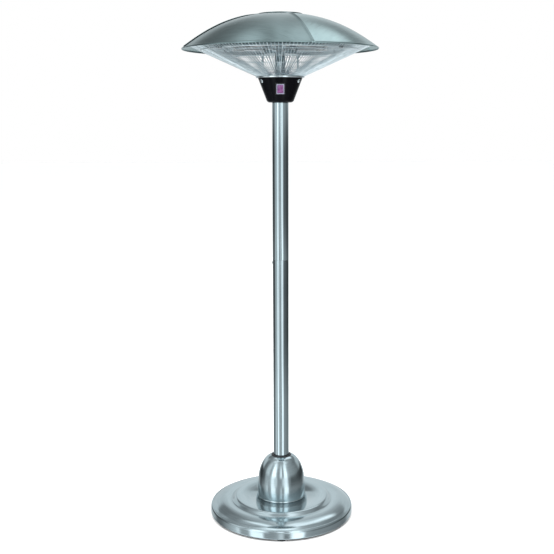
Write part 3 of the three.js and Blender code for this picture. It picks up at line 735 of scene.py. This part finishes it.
def onSlope(bm, out=0.0):
    # from the switch's own plane, with its pivot at the origin, to the housing's front
    place = Matrix.Translation(hinge) @ Matrix.Rotation(slope, 4, "X")
    return moved(bm, place @ Matrix.Translation((0, -(switch["pivotDepth"] + out) * mm, 0)))


def makeSwitch():
    width, height, depth = switch["bezel"]
    bezel = openPlate(width, height, depth, *switch["opening"], 1.2)
    addPiece("switch_bezel", onSlope(moved(bezel, Matrix.Translation((0, depth * mm, 0)))), "plastic")
    width, height, depth = switch["frame"]
    plate = openPlate(width, height, depth, *switch["opening"], 0.9)
    addPiece("switch_surround", onSlope(plate, 0.3), "pale", ["switch_frame"])

    reach, rise, dip = switch["reach"], switch["rise"], switch["dip"]
    end = math.asin(rise / reach)
    outline = [(0, dip), (reach * math.cos(end) * 0.5, (dip + rise) / 2 - 0.5), (reach * math.cos(end), rise)]
    outline += [(reach * math.cos(a), reach * math.sin(a)) for a in (0.2, 0.0, -0.25, -0.5)]
    outline += [(5, -12), (-5, -12)]
    outline += [(-reach * math.cos(a), reach * math.sin(a)) for a in (-0.5, -0.25, 0.0, 0.2)]
    outline += [(-reach * math.cos(end), rise), (-reach * math.cos(end) * 0.5, (dip + rise) / 2 - 0.5)]
    bm = bmesh.new()
    half = switch["rockerWidth"] / 2 * mm
    # outward is -Y and up the slope is +Z
    verts = [bm.verts.new((-half, -out * mm, up * mm)) for up, out in outline]
    face = bm.faces.new(verts)
    made = bmesh.ops.extrude_face_region(bm, geom=[face])
    bmesh.ops.translate(bm, vec=(2 * half, 0, 0), verts=[v for v in made["geom"] if isinstance(v, bmesh.types.BMVert)])
    bmesh.ops.recalc_face_normals(bm, faces=bm.faces)
    softened(bm, 0.5, angle=25, segments=3)
    tipped = Matrix.Rotation(math.radians(-switch["tilt"]), 4, "X")
    place = Matrix.Translation(hinge) @ Matrix.Rotation(slope, 4, "X")
    addPiece("rocker_cap", moved(bm, place @ tipped), "lens", ["switch_rocker"], body="rocker")


makeHousing()
makeSwitch()
print("housing done")


# heater

heater = {"rodNut": (13, 5), "drumFlange": 3, "coil": {"radius": 3.2, "wire": 0.45, "pitch": 3.2}, "capLength": 12}


def makeStandards():
    low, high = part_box("centre_tube")
    profile = tubeProfile(1000 * high.x, 1.5, 1000 * low.z, 1000 * high.z, 0.4)
    foot = 1000 * low.z
    radius = 1000 * high.x
    ring = [(radius + 0.1, foot), (radius + 7, foot, 0.5), (radius + 7, foot + 2, 0.8), (radius + 1.8, foot + 3, 1), (radius + 0.1, foot + 6)]
    tube = joined(spun(profile, 64, closed=True), spun(eased(ring, 3), 64, closed=True))
    addPiece("stem_tube", tube, "stem", ["centre_tube"])
    across, thick = heater["rodNut"]
    for i in range(4):
        node = f"support_rod_{i + 1}"
        low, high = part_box(node)
        middle = (low + high) / 2
        bottom, top = 1000 * low.z, 1000 * high.z
        bm = rod(1000 * (high.x - low.x) / 2, bottom, top)
        panTop = 1000 * highOf("housing_pan").z
        nuts = [moved(hexNut(across, thick), Matrix.Translation((0, 0, z * mm))) for z in (panTop, top - thick - 0.5)]
        addPiece(
            f"stay_rod_{i + 1}", moved(joined(bm, *nuts), Matrix.Translation((middle.x, middle.y, 0))),
            "polished", [node],
        )


def makeDrum():
    low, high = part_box("element_drum")
    flange, bottom, top = 1000 * high.x, 1000 * low.z, 1000 * high.z
    radius = flange - heater["drumFlange"]
    profile = [(14, bottom), (flange, bottom, 0.6), (flange, bottom + 1.6, 0.6), (radius, bottom + 3.4, 1.4)]
    profile += [(radius, top - 9, 1), (radius + 0.9, top - 7.5, 0.8), (radius + 0.9, top - 5.5, 0.8), (radius, top - 4, 1)]
    profile += [(radius, top, 0.4), (radius - 1.5, top), (radius - 1.5, bottom + 3.5), (14, bottom + 3.5)]
    addPiece("heater_drum", spun(eased(profile, 3), 96, closed=True), "drum", ["element_drum"])
    low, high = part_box("drum_plate")
    profile = [(8.3, 1000 * low.z), (1000 * high.x, 1000 * low.z, 0.4), (1000 * high.x, 1000 * high.z, 0.4), (8.3, 1000 * high.z)]
    addPiece("drum_lid", spun(eased(profile, 2), 96, closed=True), "zinc", ["drum_plate"])


def dishHeight(radius):
    # top face of the reflector at a radius, all in millimetres
    low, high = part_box("reflector_dish")
    edge = 1000 * high.x
    top = 1000 * high.z
    edgeHeight = 1878.0
    share = max(0.0, (radius - 81) / (edge - 81))
    return top - (top - edgeHeight) * share**1.8


def makeDish():
    low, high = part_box("reflector_dish")
    edge = 1000 * high.x
    points = [(59, 1000 * high.z)]
    count = 28
    for i in range(count + 1):
        radius = 81 + (edge - 2 - 81) * i / count
        points.append((radius, dishHeight(radius)))
    points += [(edge - 0.5, dishHeight(edge) + 0.1), (edge, dishHeight(edge) - 1.4), (edge - 0.6, dishHeight(edge) - 2.6)]
    shell = spun(points, 128)
    faceOutwards(shell)
    addPiece("reflector_shell", shell, "reflector", ["reflector_dish"], wall=1.0)


def makeTubes():
    low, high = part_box("heating_tube_1")
    half = 1000 * high.x
    distance = (low.y + high.y) / 2
    height = (low.z + high.z) / 2
    radius = 1000 * (high.z - low.z) / 2
    coil = heater["coil"]
    cap = heater["capLength"]
    for i in range(3):
        turn = Matrix.Rotation(i * fullTurn / 3, 4, "Z")
        place = turn @ Matrix.Translation((0, distance, height)) @ Matrix.Rotation(math.pi / 2, 4, "Y")
        glass = [(radius - 1.2, 1 - half), (radius, 1 - half, 0.4), (radius, half - 1, 0.4), (radius - 1.2, half - 1)]
        tube = spun(eased(glass, 2), 32, closed=True)
        addPiece(f"quartz_tube_{i + 1}", moved(tube, place), "quartz", [f"heating_tube_{i + 1}"])
        bm = bmesh.new()
        length = 2 * (half - cap - 4)
        turns = int(length / coil["pitch"])
        section = bmesh.ops.create_circle(bm, cap_ends=False, radius=coil["wire"] * mm, segments=4)["verts"]
        stand = Matrix.Translation((coil["radius"] * mm, 0, -length / 2 * mm)) @ Matrix.Rotation(math.pi / 2, 4, "X")
        bmesh.ops.transform(bm, matrix=stand, verts=section)
        steps = turns * 8
        bmesh.ops.spin(
            bm, geom=bm.verts[:] + bm.edges[:], cent=(0, 0, 0), axis=(0, 0, 1), angle=turns * fullTurn, steps=steps,
            dvec=(0, 0, length * mm / steps),
        )
        bmesh.ops.recalc_face_normals(bm, faces=bm.faces)
        addPiece(f"heating_coil_{i + 1}", moved(bm, place), "filament")
        for k, side in enumerate((-1, 1)):
            node = f"tube_holder_{2 * i + 1 + k}"
            along = 150 + 0.3 + 10 - 6
            body = block(20, 18, 18, 1.5)
            moved(body, Matrix.Translation((0, 0, 0)))
            collar = moved(spun(eased([(radius + 0.4, -2), (8, -2, 0.8), (8, 2, 0.8), (radius + 0.4, 2)], 3), 32, closed=True),
                           Matrix.Translation((-side * 11.5 * mm, 0, 0)) @ Matrix.Rotation(math.pi / 2, 4, "Y"))
            reach = math.hypot(1000 * distance, along)
            strapTop = dishHeight(reach) - 1.6 - 1000 * height
            strap = moved(block(14, 10, strapTop - 8.4, 0.4), Matrix.Translation((0, 0, (strapTop + 8.4) / 2 * mm)))
            # the blocks' names run the way the tubes are turned
            spot = turn @ Matrix.Translation((-side * along * mm, distance, height)) @ Matrix.Rotation(math.pi, 4, "Z")
            addPiece(f"end_block_{2 * i + 1 + k}", moved(joined(body, collar, strap), spot), "ceramic", [node])


makeStandards()
makeDrum()
makeDish()
makeTubes()
print("heater done")


# guard

guard = {
    "wires": 150,
    "wire": 1.4,
    "hoop": 1.1,
    "rim": 2.3,
    "hoops": [0.17, 0.37, 0.57, 0.76, 0.92],
}


def makeGuard():
    low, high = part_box("wire_guard")
    rim = guard["rim"]
    outer = 1000 * high.y - 2.5
    inner = 1000 * highOf("housing_pan").x - 4.5
    bottom = 1000 * low.z + 2.5
    top = 1000 * high.z - 2.5
    bm = bmesh.new()
    run = Vector((outer - inner, 0, top - bottom)) * mm
    aim = run.to_track_quat("Z", "Y").to_matrix().to_4x4()
    start = Vector((inner, 0, bottom)) * mm
    bmesh.ops.create_cone(
        bm, cap_ends=True, segments=6, radius1=guard["wire"] * mm, radius2=guard["wire"] * mm, depth=run.length,
        matrix=Matrix.Translation(start + run / 2) @ aim,
    )
    bmesh.ops.spin(
        bm, geom=bm.verts[:] + bm.edges[:] + bm.faces[:], cent=(0, 0, 0), axis=(0, 0, 1),
        angle=fullTurn * (guard["wires"] - 1) / guard["wires"], steps=guard["wires"] - 1, use_duplicate=True,
    )
    seat = (1000 * highOf("reflector_dish").x - 4 - inner) / (outer - inner)
    hoops = [(share, guard["rim"]) for share in (0.0, seat, 1.0)] + [(share, guard["hoop"]) for share in guard["hoops"]]
    inwards = Vector((bottom - top, outer - inner)).normalized()
    for share, section in hoops:
        middle = Vector((inner + (outer - inner) * share, bottom + (top - bottom) * share))
        if section < rim:
            middle += inwards * (section + guard["wire"] * 0.6)
        ring = [middle + Vector((math.cos(a), math.sin(a))) * section for a in (k * fullTurn / 8 for k in range(8))]
        joined(bm, spun(ring, guard["wires"], closed=True))
    bmesh.ops.recalc_face_normals(bm, faces=bm.faces)
    addPiece("guard_cage", bm, "wire", ["wire_guard"], sharp=60)


clip = {"inside": 9, "outside": 4, "sheet": 1.2, "width": 10}


def makeClips():
    edge = 1000 * highOf("reflector_dish").x
    inside, outside, sheet = edge - clip["inside"], edge + clip["outside"], clip["sheet"]
    for i in range(4):
        node = f"guard_clip_{i + 1}"
        low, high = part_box(node)
        middle = (low + high) / 2
        bottom, top = 1000 * low.z + sheet, 1000 * high.z - sheet
        outline = [(inside, bottom), (inside, bottom - sheet), (outside, bottom - sheet), (outside, top + sheet)]
        outline += [(inside, top + sheet), (inside, top), (outside - sheet, top), (outside - sheet, bottom)]
        width = clip["width"] * mm
        bm = bmesh.new()
        face = bm.faces.new([bm.verts.new((r * mm, -width / 2, z * mm)) for r, z in outline])
        made = bmesh.ops.extrude_face_region(bm, geom=[face])
        bmesh.ops.translate(bm, vec=(0, width, 0), verts=[v for v in made["geom"] if isinstance(v, bmesh.types.BMVert)])
        bmesh.ops.recalc_face_normals(bm, faces=bm.faces)
        softened(bm, 0.3)
        turn = Matrix.Rotation(math.atan2(middle.y, middle.x), 4, "Z")
        addPiece(f"spring_clip_{i + 1}", moved(bm, turn), "zinc", [node])


makeGuard()
makeClips()
print("guard done")


# canopy

canopy = {
    "radius": 375,
    "rimHeight": 1882,
    "rise": 129.5,
    "square": 0.785,
    "fourth": 0.388,
    "sheet": 1.2,
    "inner": 64,
    "seamTurn": math.radians(-72),
    "lap": 10,
    "fold": 16,
    "raise": 4.5,
    "crownRaise": 2.6,
    "hem": [(1.7, 0.8), (2.7, 2.0), (2.9, 3.4), (2.3, 4.9), (0.9, 6.0)],
    "columns": 44,
    "foldColumns": 12,
    "rows": 44,
    # painted light: a colour share per panel, the first (on the right) painted lighter and the fourth (at the front
    # left) darker, standing in for how the light falls on them
    "paintedLightShares": [1.28, 0.95, 1.05, 0.84],
}


def domeTop(radius):
    t = (radius / canopy["radius"]) ** 2
    sixth = 1 - canopy["square"] - canopy["fourth"]
    fall = canopy["square"] * t + canopy["fourth"] * t**2 + sixth * t**3
    return canopy["rimHeight"] + canopy["rise"] * (1 - fall)


def smooth(share):
    share = min(max(share, 0.0), 1.0)
    return share * share * (3 - 2 * share)


def makePanels():
    span = fullTurn / 4
    total = canopy["columns"] + canopy["foldColumns"]
    rows = canopy["rows"]
    for i in range(4):
        bm = bmesh.new()
        bmesh.ops.create_grid(bm, x_segments=total, y_segments=rows + len(canopy["hem"]), size=0.5)
        for v in bm.verts:
            column = round((v.co.x + 0.5) * total)
            row = round((v.co.y + 0.5) * (rows + len(canopy["hem"])))
            share = min(row, rows) / rows
            radius = canopy["inner"] + (canopy["radius"] - canopy["inner"]) * share**0.9
            lap, fold = canopy["lap"] / radius, canopy["fold"] / radius
            # from under the last panel's raised edge to this panel's own, which steepens towards its end
            if column <= canopy["columns"]:
                angle = (span - fold + lap) * column / canopy["columns"] - lap
            else:
                angle = span - fold + fold * (column - canopy["columns"]) / canopy["foldColumns"]
            rise = canopy["crownRaise"] + (canopy["raise"] - canopy["crownRaise"]) * smooth((radius - 85) / 60)
            lift = rise * max(0.0, (angle - span + fold) / fold) ** 1.8
            height = domeTop(radius) + lift
            hem = row - rows
            if hem > 0:
                radius += canopy["hem"][hem - 1][0]
                height -= canopy["hem"][hem - 1][1]
            v.co = polar(radius * mm, canopy["seamTurn"] + i * span + angle, height * mm)
        faceOutwards(bm)
        middle = canopy["seamTurn"] + (i + 0.5) * span
        # each panel gets its own copy of the steel with its painted light share, lighter or darker by how the light
        # falls
        steel = makeMaterial(f"painted_light_panel_steel_{i + 1}", panelSteelWithPaintedLight(-middle, canopy["paintedLightShares"][i]))
        addPiece(f"canopy_sheet_{i + 1}", bm, steel, [f"canopy_panel_{i + 1}"], wall=canopy["sheet"])


def makeCrown():
    low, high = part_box("crown_cap")
    outer = 1000 * high.x
    lift = 1000 * high.z - domeTop(5.4)
    points = [(radius, domeTop(radius) + lift) for radius in (5.4, 15, 25, 35, 45, 55, 65, 74, outer - 2)]
    points += [(outer - 0.6, domeTop(outer) + lift - 0.2), (outer, domeTop(outer) + lift - 1.2), (outer - 0.2, domeTop(outer) + lift - 3)]
    shell = spun(points, 96)
    faceOutwards(shell)
    addPiece("crown_plate", shell, "crown", ["crown_cap"], wall=1.3)
    low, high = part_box("crown_bolt")
    top = 1000 * high.z
    head = 1000 * high.x
    profile = [(0, 1000 * low.z), (4.2, 1000 * low.z, 0.5), (4.2, top - 2.2), (head, top - 2.2, 0.3), (head, top - 1.6, 0.5), (head * 0.6, top, 3), (0, top)]
    addPiece("crown_screw", spun(eased(profile, 3), 48), "zinc", ["crown_bolt"])


makePanels()
makeCrown()
print("canopy done")


# CAD nodes that stay

keptNodes = {
    "base_plate": "coat",
    "ballast_ring": "iron",
    "pole_socket": "zinc",
    "socket_bolt_1": "zinc",
    "socket_bolt_2": "zinc",
    "socket_bolt_3": "zinc",
    "inner_lead": "rubber",
    "pole_joiner": "zinc",
    "head_socket": "zinc",
    "switch_body": "plastic",
    "terminal_block": "ceramic",
    "tilt_switch": "pale",
    "canopy_hub": "zinc",
}
for name, finish in keptNodes.items():
    cadNodes[name].data.materials.clear()
    cadNodes[name].data.materials.append(finishes[finish])
print("kept nodes finished")


# studio

camera = {
    "place": (-0.013, -3.661, 1.626),
    "pitch": 9.84,
    "roll": 0.19,
    "lens": 60.34,
}
cool = (0.93, 1.0, 1.03)
# brightness round each ring of sky, by degrees from the front, positive to the right
rings = {
    "low": [(-180, 0.7), (-168, 0.75), (-152, 0.6), (-136, 0.45), (-126, 0.16), (-112, 0.2), (-96, 0.45), (-80, 0.7), (-73, 1.1),
            (-67, 0.45), (-54, 0.5), (-49, 1.6), (-31, 1.6), (-27, 0.42), (-14, 0.42), (-7, 0.5), (-2, 0.9), (2, 0.85), (5, 0.25),
            (12, 0.3), (16, 1.3), (20, 1.8), (34, 1.8), (39, 0.48), (50, 0.4), (75, 0.34), (110, 0.24), (124, 0.22), (138, 0.6),
            (160, 0.7), (180, 0.75)],
    "level": [(-180, 0.65), (-154, 0.6), (-145, 0.2), (-134, 0.04), (-116, 0.04), (-104, 0.12), (-94, 0.14), (-87, 0.4), (-80, 0.55),
              (-60, 0.58), (-54, 0.8), (-49, 1.4), (-40, 1.4), (-33, 0.95), (-23, 0.92), (-17, 0.42), (1, 0.4), (6, 0.85),
              (12, 1.15), (24, 1.45), (31, 1.1), (36, 0.4), (44, 0.3), (50, 0.14), (80, 0.12), (105, 0.06), (138, 0.05),
              (150, 0.6), (165, 0.8), (180, 0.8)],
    "raised": [(-180, 0.85), (-175, 0.78), (-169, 0.68), (-156, 0.7), (-140, 0.7), (-124, 0.7), (-110, 0.18), (-94, 0.28), (-82, 0.8),
               (-70, 0.9), (-58, 0.45), (-51, 0.9), (-46, 2.0), (-31, 1.9), (-25, 0.8), (-18, 0.4), (-9, 0.6), (-3, 1.4), (2, 1.3),
               (6, 0.4), (11, 0.5), (16, 1.7), (27, 1.8), (33, 0.8), (42, 0.5), (70, 0.38), (104, 0.24), (122, 0.6), (140, 0.65),
               (156, 0.68), (169, 0.7), (180, 0.85)],
    "dusk": [(-180, 0.8), (-173, 0.5), (-166, 0.24), (-142, 0.24), (-128, 0.5), (-110, 0.25), (-94, 0.3), (-82, 0.7), (-70, 0.9),
             (-58, 0.5), (-51, 0.95), (-46, 1.9), (-31, 1.7), (-25, 0.8), (-18, 0.45), (-9, 0.65), (-3, 1.3), (2, 1.2), (6, 0.4),
             (11, 0.6), (16, 1.6), (27, 1.6), (33, 0.8), (42, 0.5), (70, 0.38), (104, 0.24), (122, 0.3), (140, 0.25), (160, 0.35),
             (170, 0.5), (180, 0.8)],
    "upper": [(-180, 0.9), (-175, 0.6), (-170, 0.5), (-164, 0.32), (-146, 0.3), (-120, 0.34), (-90, 0.42), (-76, 0.75), (-64, 0.6), (-52, 0.9),
              (-45, 1.6), (-34, 1.2), (-24, 0.7), (-15, 0.48), (-6, 0.8), (0, 1.0), (6, 0.5), (12, 0.9), (20, 1.5), (30, 1.5),
              (38, 0.8), (50, 0.5), (80, 0.4), (130, 0.28), (139, 0.3), (147, 1.5), (155, 1.5), (163, 0.9), (170, 0.75),
              (176, 0.6), (180, 0.74)],
    "top": [(-180, 1.3), (-174, 0.5), (-168, 0.6), (-163, 1.2), (-152, 1.5), (-145, 0.6), (-110, 0.4), (-90, 0.55), (-75, 1.2), (-60, 0.95), (-48, 1.0), (-32, 0.5),
            (0, 0.5), (18, 0.5), (28, 1.2), (46, 1.2), (60, 0.8), (80, 0.5), (125, 0.4), (138, 0.5), (147, 1.5), (162, 1.2),
            (170, 1.4), (175, 0.6), (180, 1.3)],
}
# a ring fills the sky up to its first height, and has changed into the next one at its second
heights = [("low", -21, -10), ("level", 0, 8), ("raised", 23, 29), ("dusk", 37, 44), ("upper", 48, 60), ("top", 70, 84)]
studio = {"under": 1.1, "underTop": -52, "lowBottom": -36, "zenith": 1.5, "aroundWhite": 1.12}


def ringLevels(azimuth, name):
    stops = [((angle + 180) / 360, (*(level / 2 * c for c in cool), 1)) for angle, level in rings[name]]
    return azimuth.node("ShaderNodeValToRGB", {"stops": stops}, {"Fac": azimuth}, out="Color")


def evenLevel(level):
    return (*(level / 2 * c for c in cool), 1)


def makeStudio():
    world = bpy.data.worlds.new("studio")
    bpy.context.scene.world = world
    world.use_nodes = True
    world.node_tree.nodes.clear()
    start = Wire(world.node_tree)
    look = start.node("ShaderNodeTexCoord", out="Generated")
    x, y, z = (axisOf(look, i) for i in range(3))
    azimuth = start.calc("ARCTAN2", x, y * -1.0) / fullTurn + 0.5
    height = start.calc("ARCSINE", z) * (180 / math.pi)
    around = height.step(studio["underTop"], studio["lowBottom"]).blend(evenLevel(studio["under"]), ringLevels(azimuth, "low"))
    for (name, bottom, top), after in zip(heights, heights[1:] + [None]):
        over = ringLevels(azimuth, after[0]) if after else evenLevel(studio["zenith"])
        around = height.step(bottom, top).blend(around, over)
    path = start.node("ShaderNodeLightPath")
    isSeen, isDiffuse = (Wire(world.node_tree, path.socket.node.outputs[ray]) for ray in ("Is Camera Ray", "Is Diffuse Ray"))
    reflected = start.node("ShaderNodeBackground", sockets={"Color": around, "Strength": 2.0})
    soft = start.node("ShaderNodeBackground", sockets={"Color": (1, 1, 1, 1), "Strength": studio["aroundWhite"]})
    backdrop = start.node("ShaderNodeBackground", sockets={"Color": (1, 1, 1, 1), "Strength": 1.0})
    surface = start.node("ShaderNodeMixShader", sockets={0: isDiffuse, 1: reflected, 2: soft})
    surface = start.node("ShaderNodeMixShader", sockets={0: isSeen, 1: surface, 2: backdrop})
    start.node("ShaderNodeOutputWorld", sockets={"Surface": surface})


def makeFloor():
    bm = bmesh.new()
    bmesh.ops.create_grid(bm, x_segments=1, y_segments=1, size=30)
    mesh = bpy.data.meshes.new("floor")
    bm.to_mesh(mesh)
    bm.free()
    floor = bpy.data.objects.new("floor", mesh)
    bpy.context.scene.collection.objects.link(floor)
    floor.visible_glossy = False
    mesh.materials.append(makeMaterial("pale_floor", lambda start: {"Base Color": (0.94, 0.94, 0.94, 1), "Roughness": 0.9}))


def addLight(name, place, aim, size, power, glossy):
    lamp = bpy.data.lights.new(name, "AREA")
    lamp.shape = "RECTANGLE"
    lamp.size, lamp.size_y = size
    lamp.energy = power
    light = bpy.data.objects.new(name, lamp)
    light.location = place
    light.rotation_mode = "QUATERNION"
    light.rotation_quaternion = (Vector(place) - Vector(aim)).to_track_quat("Z", "Y")
    light.visible_glossy = glossy
    light.visible_camera = False
    bpy.context.scene.collection.objects.link(light)


def makeCamera():
    lens = bpy.data.cameras.new("camera")
    lens.lens = camera["lens"]
    lens.sensor_width = 36
    view = bpy.data.objects.new("camera", lens)
    view.location = camera["place"]
    view.rotation_euler = (math.radians(90 - camera["pitch"]), math.radians(camera["roll"]), 0)
    bpy.context.scene.collection.objects.link(view)
    bpy.context.scene.camera = view


makeStudio()
makeFloor()
makeCamera()
addLight("overhead", (0, 0, 5), (0, 0, 0), (6, 6), 300, False)
addLight("front_fill", (-1.5, -4, 3), (0, 0, 1), (2.5, 2.5), 60, False)
bpy.context.scene.view_settings.view_transform = "Standard"
print("studio done")
